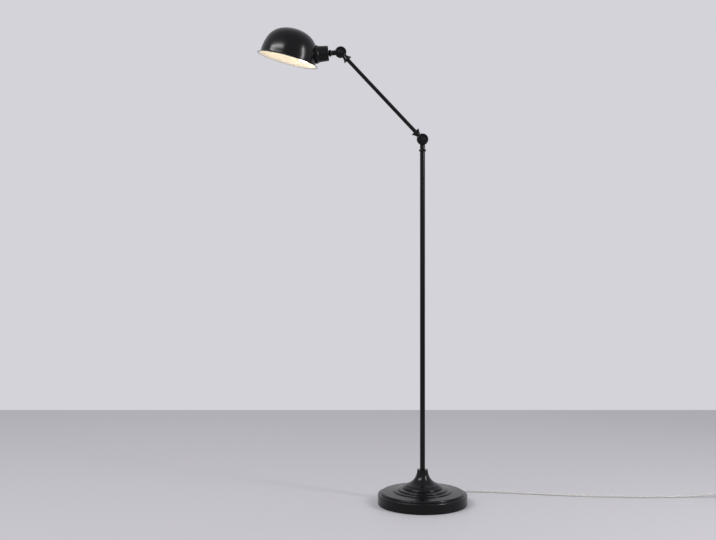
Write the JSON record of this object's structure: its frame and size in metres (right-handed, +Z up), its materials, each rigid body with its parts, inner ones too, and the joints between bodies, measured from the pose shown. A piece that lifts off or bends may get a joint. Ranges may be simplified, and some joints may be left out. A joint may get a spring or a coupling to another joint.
{
  "type": "bridge floor lamp",
  "caption": "Floor lamp with a weighted round base, a tall pole, a leaning arm on friction knuckles and a small domed metal shade that tilts and turns.",
  "frame": {"origin": "centre of the base's underside, on the floor", "axes": "+Z up along the pole, -X towards the side that the arm leans to, -Y the front"},
  "size_m": [1.6067, 0.2929, 1.4926],
  "materials": {
    "black_paint": "satin black powder coat",
    "shade_enamel": "satin black outside, warm white inside",
    "zinc_steel": "zinc plated",
    "black_screws": "black oxide",
    "friction_plastic": "matt",
    "inner_lead": "matt",
    "clear_cord": "clear PVC over the cores",
    "switch_plastic": "satin moulded",
    "switch_button": "gloss moulded",
    "iron_weight": "as cast",
    "felt_pad": "pressed felt",
    "brass_parts": "stamped",
    "cap_metal": "bright",
    "holder_plastic": "matt",
    "bulb_glass": "opal, lit",
    "cord_sleeves": "matt",
    "plug_plastic": "clear moulded",
    "plug_pins": "nickel plated"
  },
  "bodies": {
    "stand": {"base_cover": "black_paint", "neck_ring": "black_paint", "base_weight": "iron_weight", "base_pad": "felt_pad", "foot_washer": "zinc_steel", "foot_bolt": "zinc_steel", "pole_foot_insert": "zinc_steel", "pole_tube": "black_paint", "pole_top_bush": "brass_parts", "pole_collar": "black_paint", "stand_lead": "inner_lead", "cord_grommet": "cord_sleeves", "power_cord": "clear_cord", "switch_tray": "switch_plastic", "switch_lid": "switch_plastic", "switch_block": "switch_plastic", "switch_spring": "zinc_steel", "switch_screws": "zinc_steel", "switch_sleeves": "cord_sleeves", "plug_lead": "clear_cord", "cord_coil": "clear_cord", "plug_tail": "clear_cord", "plug_body": "plug_plastic", "plug_pins": "plug_pins"},
    "elbow_mount": {"elbow_knuckle": "black_paint", "swivel_clip": "zinc_steel", "elbow_bolt": "black_screws", "elbow_washer": "black_screws", "elbow_friction_ring": "friction_plastic", "elbow_spring_washer": "black_screws", "elbow_nut": "black_screws", "elbow_lead": "inner_lead"},
    "arm": {"arm_lower_knuckle": "black_paint", "arm_tube": "black_paint", "arm_upper_knuckle": "black_paint", "arm_lead": "inner_lead"},
    "head_mount": {"head_knuckle": "black_paint", "head_bolt": "black_screws", "head_washer": "black_screws", "head_friction_ring": "friction_plastic", "head_spring_washer": "black_screws", "head_nut": "black_screws", "neck_washer": "zinc_steel", "neck_nut": "zinc_steel", "neck_lead": "inner_lead"},
    "head": {"neck_collar": "black_paint", "socket_cup": "black_paint", "gallery_ring": "black_paint", "shade": "shade_enamel", "shade_ring": "holder_plastic", "lampholder_body": "holder_plastic", "lampholder_sleeve": "brass_parts", "lampholder_contact": "brass_parts", "holder_lead": "inner_lead", "bulb_cap": "cap_metal", "bulb_globe": "bulb_glass"},
    "button": {"switch_button": "switch_button"}
  },
  "joints": [
    {"name": "arm_swivel", "type": "hinge", "parent": "stand", "child": "elbow_mount", "pos_m": [0, 0, 1.1125], "axis": [0, 0, 1], "range_deg": [-170, 170]},
    {"name": "elbow_tilt", "type": "hinge", "parent": "elbow_mount", "child": "arm", "pos_m": [0, 0, 1.143], "axis": [0, -1, 0], "range_deg": [-43, 70]},
    {"name": "head_tilt", "type": "hinge", "parent": "arm", "child": "head_mount", "pos_m": [-0.2569, 0, 1.41618], "axis": [0, -1, 0], "range_deg": [-75, 60]},
    {"name": "head_swivel", "type": "hinge", "parent": "head_mount", "child": "head", "pos_m": [-0.2569, 0, 1.41618], "axis": [-0.996, 0, -0.0889], "range_deg": [-90, 90]},
    {"name": "switch_press", "type": "slide", "parent": "stand", "child": "button", "axis": [0, 0, -1], "range_m": [0, 0.002], "stiffness_N_per_m": 800, "springref_m": -0.001, "deforming": ["switch_spring"]}
  ]
}
